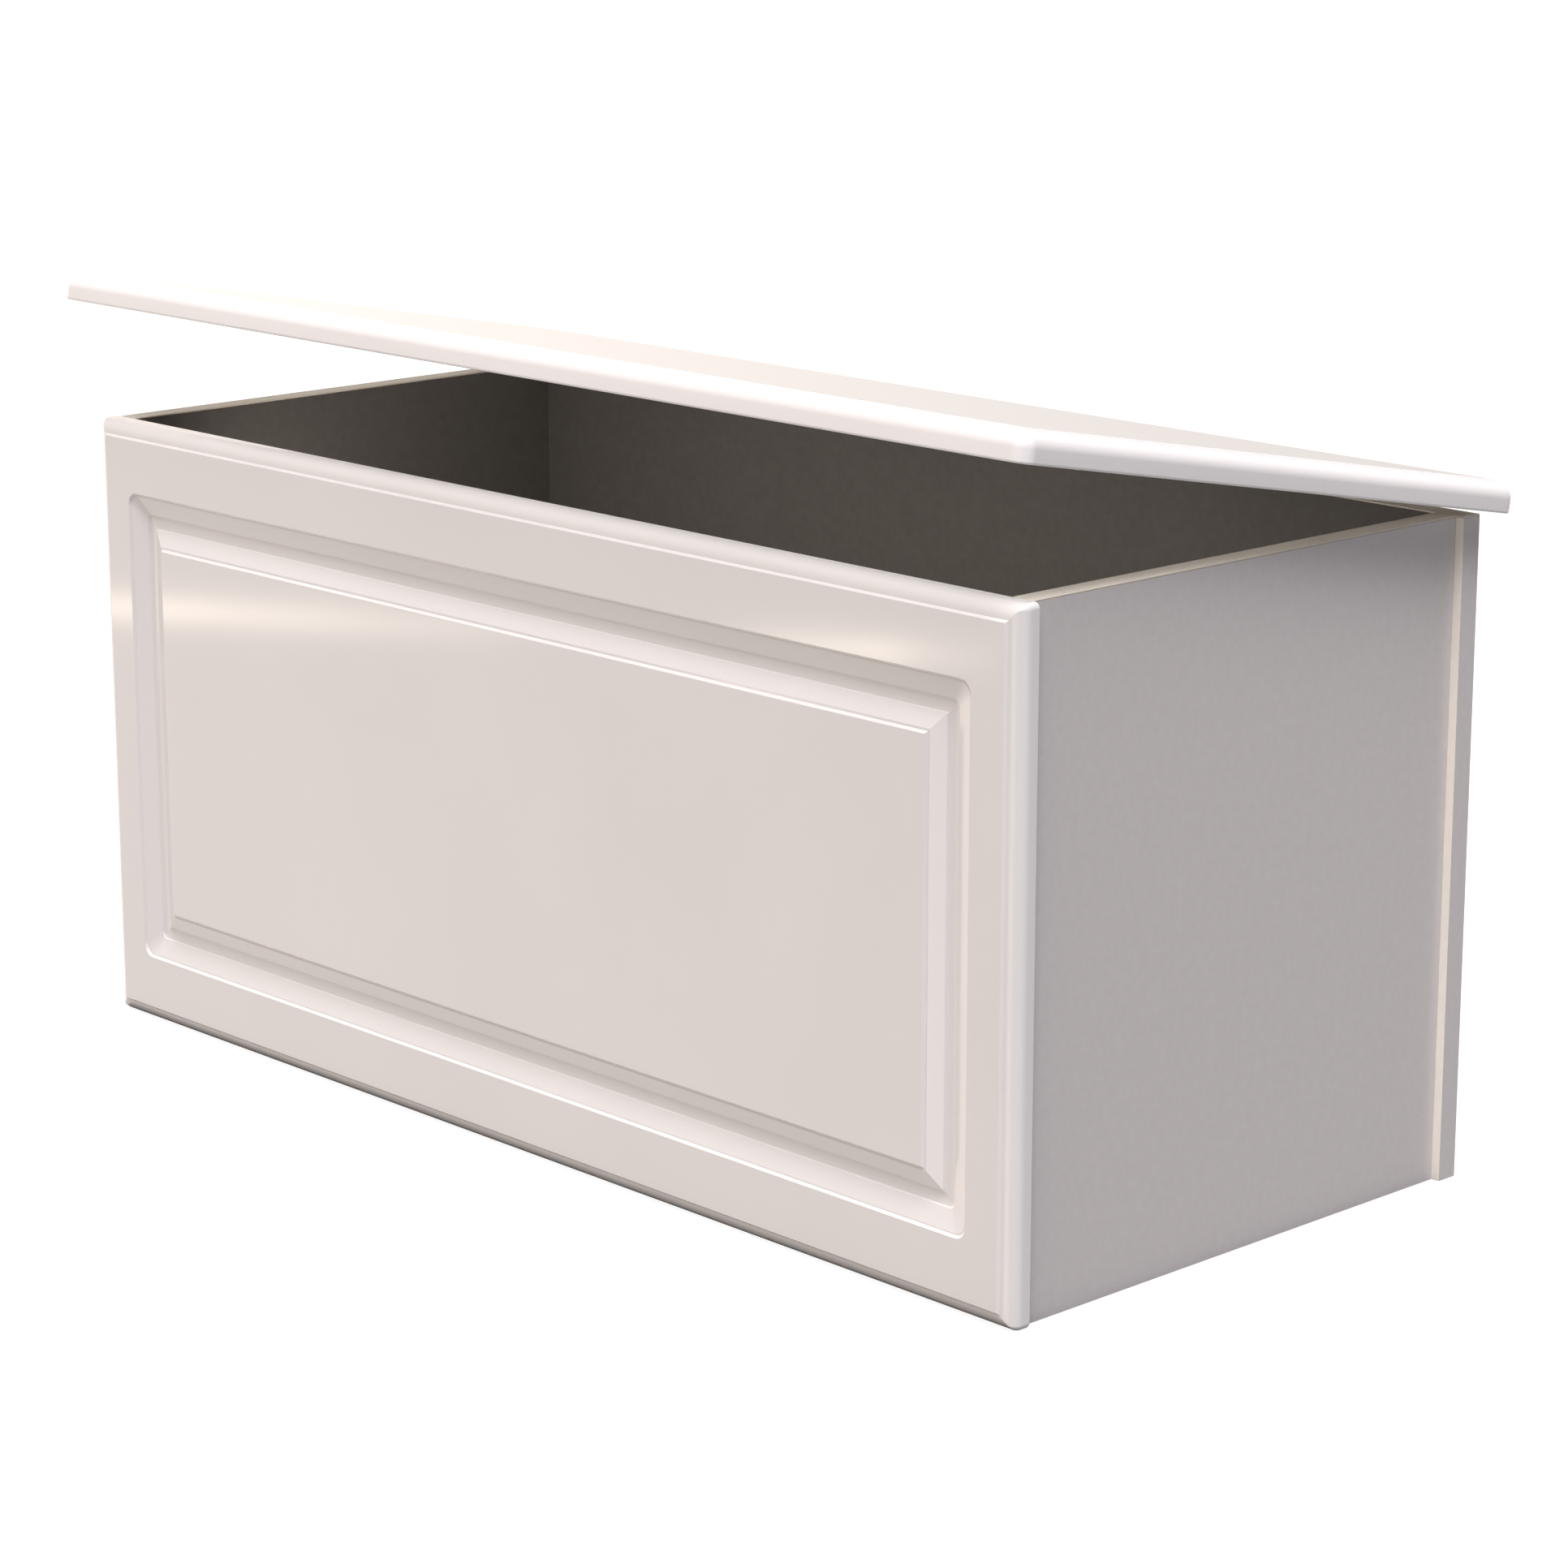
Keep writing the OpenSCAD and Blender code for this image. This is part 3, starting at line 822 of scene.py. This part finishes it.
def chipboard():
    """Pressed wood flakes, seen on raw board edges."""
    m = Nodes("Chipboard")
    m.set("Roughness", 0.85)
    tone = m.mixed(m.cell_shades(450), m.noise(800, detail=5), share=0.4)
    m.colour(tone, [(0.2, srgb(120, 88, 56)), (0.8, srgb(214, 180, 134)),
                    (0.5, srgb(176, 138, 94))])
    m.relief(tone, strength=0.5, distance=0.2 * MM)
    return m.material


def pine():
    """Planed softwood with growth lines along the batten."""
    m = Nodes("Pine")
    m.set("Roughness", 0.6)
    lines = m.tree.nodes.new("ShaderNodeTexWave")
    lines.bands_direction = "Z"
    lines.inputs["Scale"].default_value = 60
    lines.inputs["Distortion"].default_value = 5
    lines.inputs["Detail"].default_value = 3
    m.link(m.scaled((0.15, 0.15, 1)), lines.inputs["Vector"])
    m.link(m.noise(9, place=m.scaled((1, 1, 6))), lines.inputs["Phase Offset"])
    m.colour(lines.outputs["Fac"], [(0.1, srgb(226, 194, 146)), (0.9, srgb(190, 146, 92)),
                                    (0.6, srgb(214, 178, 126))])
    m.relief(lines.outputs["Fac"], strength=0.25, distance=0.15 * MM)
    return m.material


def metal(name, colour, colour_2, low, high, grain=(1, 1, 1)):
    """Plated steel with a faint cloud in its plating and fine brushing along its grain."""
    m = Nodes(name)
    m.set("Metallic", 1.0)
    m.colour(m.noise(220, detail=4), [(0.3, colour), (0.7, colour_2)])
    brushed = m.noise(2500, detail=2, place=m.scaled(grain))
    m.roughness(brushed, low, high)
    m.relief(brushed, strength=0.12, distance=0.02 * MM)
    return m.material


def moulded(name, colour, colour_2, roughness, subsurface=0.0):
    """Moulded plastic or rubber with a fine spark-eroded texture."""
    m = Nodes(name)
    m.set("Roughness", roughness)
    m.set("Subsurface Weight", subsurface)
    m.set("Subsurface Radius", (MM, MM, MM))
    m.colour(m.noise(400), [(0.3, colour), (0.7, colour_2)])
    m.relief(m.noise(3000), strength=0.2, distance=0.03 * MM)
    return m.material


GLOSS_FOIL = gloss_foil()
MELAMINE_WHITE = melamine("MelamineWhite", srgb(230, 226, 222), srgb(234, 230, 227), 0.4, 0.5)
# The back panel's front face beyond the sides: its cream made brighter than the board is, as
# painted light against the shade in the corner by the side
MELAMINE_CREAM_PAINTED_LIGHT = melamine("MelamineCreamPaintedLight", srgb(250, 241, 228), srgb(252, 243, 231), 0.42, 0.52)
# The outer faces of the sides and the back and ends of the back panel: white melamine darkened to
# how the sides look in shade, partly its own greyer tone and partly painted shade
MELAMINE_TONE_AND_SHADE = melamine("MelamineToneAndShade", srgb(206, 198, 193), srgb(209, 201, 196), 0.42, 0.52)
MELAMINE_CHARCOAL = melamine("MelamineCharcoal", srgb(92, 86, 80), srgb(96, 90, 84), 0.5, 0.62)
EDGE_BAND = edge_band_plastic()
CHIPBOARD = chipboard()
PINE = pine()
ZINC = metal("ZincPlate", srgb(176, 176, 172), srgb(196, 195, 188), 0.32, 0.45)
NICKEL = metal("NickelPlate", srgb(196, 195, 191), srgb(206, 205, 201), 0.38, 0.5, (0.2, 1, 1))
BRIGHT_ZINC = metal("BrightZinc", srgb(226, 224, 216), srgb(234, 232, 224), 0.5, 0.62)
CAP_PLASTIC = moulded("CapPlastic", srgb(222, 216, 211), srgb(226, 221, 216), 0.4)
RUBBER = moulded("BumperRubber", srgb(214, 214, 212), srgb(224, 224, 222), 0.5, 0.2)


# ---- The bench ----

make_front_panel()
make_lid()
make_side_panel("left_side_panel", -1)
make_side_panel("right_side_panel", 1)
make_back_panel()
make_base_panel()
for band in ("left_edge_band", "right_edge_band", "back_edge_band"):
    make_strip(band, EDGE_BAND, BAND_EDGE)
for cleat in ("front_cleat", "left_cleat", "right_cleat"):
    make_strip(cleat, PINE, CLEAT_EDGE)
make_screws("cleat_screws", head_inward, ZINC)
make_screws("base_screws", head_up, ZINC)
make_screws("confirmat_screws", head_back, ZINC)
make_screws("body_hinge_screws", head_back, BRIGHT_ZINC)
make_screws("lid_hinge_screws", head_down, BRIGHT_ZINC, body="lid")
make_caps()
make_bumpers()
make_softened("cam_locks", "root", ZINC)
make_softened("cam_bolts", "root", ZINC)
make_softened("dowels", "root", PINE, width=DOWEL_RIM)
for hinge in ("left_hinge", "middle_hinge", "right_hinge"):
    make_softened(hinge + "_body_leaf", "root", NICKEL)
    make_softened(hinge + "_lid_leaf", "lid", NICKEL)
    make_softened(hinge + "_pin", "root", NICKEL)


# ---- Camera, light and floor ----

CAMERA_AT = Vector((2.10834, -1.95083, 0.93413))
CAMERA_AZIMUTH = math.radians(46.705)
CAMERA_ELEVATION = math.radians(14.057)
LENS = 100.53
SENSOR_W = 36


def make_camera():
    data = bpy.data.cameras.new("Camera")
    data.lens = LENS
    data.sensor_width = SENSOR_W
    camera = new_object("Camera", data)
    camera.location = CAMERA_AT
    camera.rotation_euler = (math.pi / 2 - CAMERA_ELEVATION, 0, CAMERA_AZIMUTH)
    bpy.context.scene.camera = camera


# The studio: soft lobes of light, each (direction, sharpness, colour), and light from below
# that grows towards straight down
LOBES = [
    ((0.25, -0.3, 0.92), 40, (22.8, 23.0, 24.3)),
    ((0.26, 0, 0.97), 60, (13.5, 13.2, 14.2)),
    ((0, -0.94, -0.34), 20, (1.4, 1.28, 1.17)),
    ((0.2, -0.75, 0.6), 12, (1.05, 0.97, 0.92)),
    ((1, 0, 0.1), 8, (0.46, 0.5, 0.62)),
    ((-1, 0, -0.1), 4, (1.7, 1.5, 1.35)),
    ((-0.71, 0.53, 0.3), 8, (0.5, 0.47, 0.44)),
    ((-0.1, 0.99, 0.1), 8, (1.0, 0.98, 0.97)),
]
FLOOR_LIGHT = (0.66, 0.67, 0.69)

# A thin warm strip low in front, whose reflection runs across the front panel. Its two ends
# are (azimuth from -X towards -Y, elevation), and its brightness changes along its azimuth.
STRIP_ENDS = ((34.4, -11.6), (45.0, -12.35))
STRIP_WIDTH = 0.003
STRIP_COLOUR = (6.3, 5.5, 4.4)
STRIP_BRIGHTNESS = [(22, 0), (33, 0.9), (35, 1.0), (36.5, 0.75), (38.5, 0.45), (40.5, 0.05),
                    (42.0, 0.15), (43.2, 1.0), (44.6, 1.4), (45.4, 0.5), (46.5, 0)]


class WorldNodes:
    """The world's node tree, with short calls for sums of values and directions."""

    def __init__(self, tree):
        self.tree = tree
        self.direction = tree.nodes.new("ShaderNodeTexCoord").outputs["Generated"]
        parts = tree.nodes.new("ShaderNodeSeparateXYZ")
        tree.links.new(self.direction, parts.inputs["Vector"])
        self.x, self.y, self.z = parts.outputs

    def feed(self, node, inputs):
        for socket, value in zip(node.inputs, inputs):
            if isinstance(value, bpy.types.NodeSocket):
                self.tree.links.new(value, socket)
            else:
                socket.default_value = value

    def value(self, operation, *inputs):
        node = self.tree.nodes.new("ShaderNodeMath")
        node.operation = operation
        self.feed(node, inputs)
        return node.outputs["Value"]

    def vector(self, operation, *inputs):
        node = self.tree.nodes.new("ShaderNodeVectorMath")
        node.operation = operation
        self.feed(node, inputs)
        return node.outputs["Value" if operation == "DOT_PRODUCT" else "Vector"]

    def minus(self, value):
        return self.value("MULTIPLY", value, -1.0)

    def tinted(self, amount, colour):
        node = self.tree.nodes.new("ShaderNodeVectorMath")
        node.operation = "SCALE"
        node.inputs["Vector"].default_value = colour
        self.tree.links.new(amount, node.inputs["Scale"])
        return node.outputs["Vector"]

    def lobe(self, axis, sharpness, colour):
        along = self.vector("DOT_PRODUCT", self.direction, Vector(axis).normalized())
        amount = self.value("POWER", self.value("MAXIMUM", along, 0.0), sharpness)
        return self.tinted(amount, colour)

    def below(self):
        return self.tinted(self.value("MAXIMUM", self.minus(self.z), 0.0), FLOOR_LIGHT)

    def strip(self):
        first, second = (low_direction(*end) for end in STRIP_ENDS)
        off = self.vector("DOT_PRODUCT", self.direction, first.cross(second).normalized())
        off = self.value("DIVIDE", off, STRIP_WIDTH)
        across = self.value("EXPONENT", self.minus(self.value("MULTIPLY", off, off)))
        azimuth = self.value("ARCTAN2", self.minus(self.y), self.minus(self.x))
        amount = self.value("MULTIPLY", across, self.strip_brightness(azimuth))
        return self.tinted(amount, STRIP_COLOUR)

    def strip_brightness(self, azimuth):
        start, end = STRIP_BRIGHTNESS[0][0], STRIP_BRIGHTNESS[-1][0]
        along = self.tree.nodes.new("ShaderNodeMapRange")
        along.inputs["From Min"].default_value = math.radians(start)
        along.inputs["From Max"].default_value = math.radians(end)
        self.tree.links.new(azimuth, along.inputs["Value"])
        ramp = self.tree.nodes.new("ShaderNodeValToRGB")
        ramp.color_ramp.interpolation = "EASE"
        elements = ramp.color_ramp.elements
        elements[1].position = 1.0
        for degrees, level in STRIP_BRIGHTNESS[1:-1]:
            element = elements.new((degrees - start) / (end - start))
            element.color = (level, level, level, 1)
        elements[0].color = elements[-1].color = (0, 0, 0, 1)
        self.tree.links.new(along.outputs["Result"], ramp.inputs["Fac"])
        return ramp.outputs["Color"]


def low_direction(azimuth, elevation):
    azimuth = math.radians(azimuth)
    elevation = math.radians(elevation)
    return Vector((-math.cos(elevation) * math.cos(azimuth),
                   -math.cos(elevation) * math.sin(azimuth), math.sin(elevation)))


def make_world():
    """Lobes light the bench, and the camera sees plain white behind it."""
    world = bpy.data.worlds.new("Studio")
    bpy.context.scene.world = world
    world.use_nodes = True
    tree = world.node_tree
    nodes = WorldNodes(tree)
    total = nodes.strip()
    for lobe in LOBES:
        total = nodes.vector("ADD", total, nodes.lobe(*lobe))
    total = nodes.vector("ADD", total, nodes.below())
    background = tree.nodes["Background"]
    tree.links.new(total, background.inputs["Color"])
    white = tree.nodes.new("ShaderNodeBackground")
    white.inputs["Color"].default_value = (1, 1, 1, 1)
    path = tree.nodes.new("ShaderNodeLightPath")
    mix = tree.nodes.new("ShaderNodeMixShader")
    tree.links.new(path.outputs["Is Camera Ray"], mix.inputs["Fac"])
    tree.links.new(background.outputs[0], mix.inputs[1])
    tree.links.new(white.outputs[0], mix.inputs[2])
    tree.links.new(mix.outputs[0], tree.nodes["World Output"].inputs["Surface"])


FILL_AT = Vector((0, -0.15, 0.34))
FILL_SIZE = (0.8, 0.05)
FILL_WATTS = 1.1
FILL_TILT = math.radians(100)


def make_fill():
    """A weak light inside the chest, for the light that the studio's walls would throw in."""
    data = bpy.data.lights.new("Fill", "AREA")
    data.shape = "RECTANGLE"
    data.size, data.size_y = FILL_SIZE
    data.energy = FILL_WATTS
    light = new_object("Fill", data)
    light.location = FILL_AT
    light.rotation_euler = (FILL_TILT, 0, 0)
    light.visible_camera = False
    light.visible_glossy = False


def matte(name, shade):
    material = bpy.data.materials.new(name)
    material.use_nodes = True
    shader = material.node_tree.nodes["Principled BSDF"]
    shader.inputs["Base Color"].default_value = (shade, shade, shade, 1)
    shader.inputs["Roughness"].default_value = 1.0
    return material, shader


FLOOR_R = 30
FLOOR_SIDES = 96
FLOOR_DROP = 0.5 * MM
FLOOR_SHADE = 0.2
FLOOR_GLOW = 0.92


def make_floor():
    """A pale floor that keeps its own light from the bench."""
    bm = bmesh.new()
    bmesh.ops.create_circle(bm, cap_ends=True, segments=FLOOR_SIDES, radius=FLOOR_R)
    floor = new_object("Floor", new_mesh("Floor", bm))
    material, shader = matte("PaleFloor", FLOOR_SHADE)
    shader.inputs["Specular IOR Level"].default_value = 0.0
    shader.inputs["Emission Color"].default_value = (1, 1, 1, 1)
    shader.inputs["Emission Strength"].default_value = FLOOR_GLOW
    floor.data.materials.append(material)
    floor.location.z = -FLOOR_DROP
    floor.visible_diffuse = False
    floor.visible_glossy = False
    floor.visible_shadow = False


FLAG_MARGIN = 6 * MM
FLAG_DROP = 2 * MM
FLAG_SHADE = 0.05


def make_flag():
    """A flag under the bench, out of sight, that stops light from coming up at its edges."""
    bm = bmesh.new()
    bmesh.ops.create_grid(bm, x_segments=1, y_segments=1, size=1)
    reach_x = SIDE[1].x + FLAG_MARGIN
    reach_y = BACK[1].y + FLAG_MARGIN
    for v in bm.verts:
        v.co = Vector((v.co.x * reach_x, v.co.y * reach_y, -FLAG_DROP))
    flag = new_object("Flag", new_mesh("Flag", bm))
    flag.data.materials.append(matte("FlagCloth", FLAG_SHADE)[0])
    flag.visible_camera = False


make_camera()
make_world()
make_fill()
make_floor()
make_flag()
bpy.context.scene.view_settings.view_transform = "Standard"
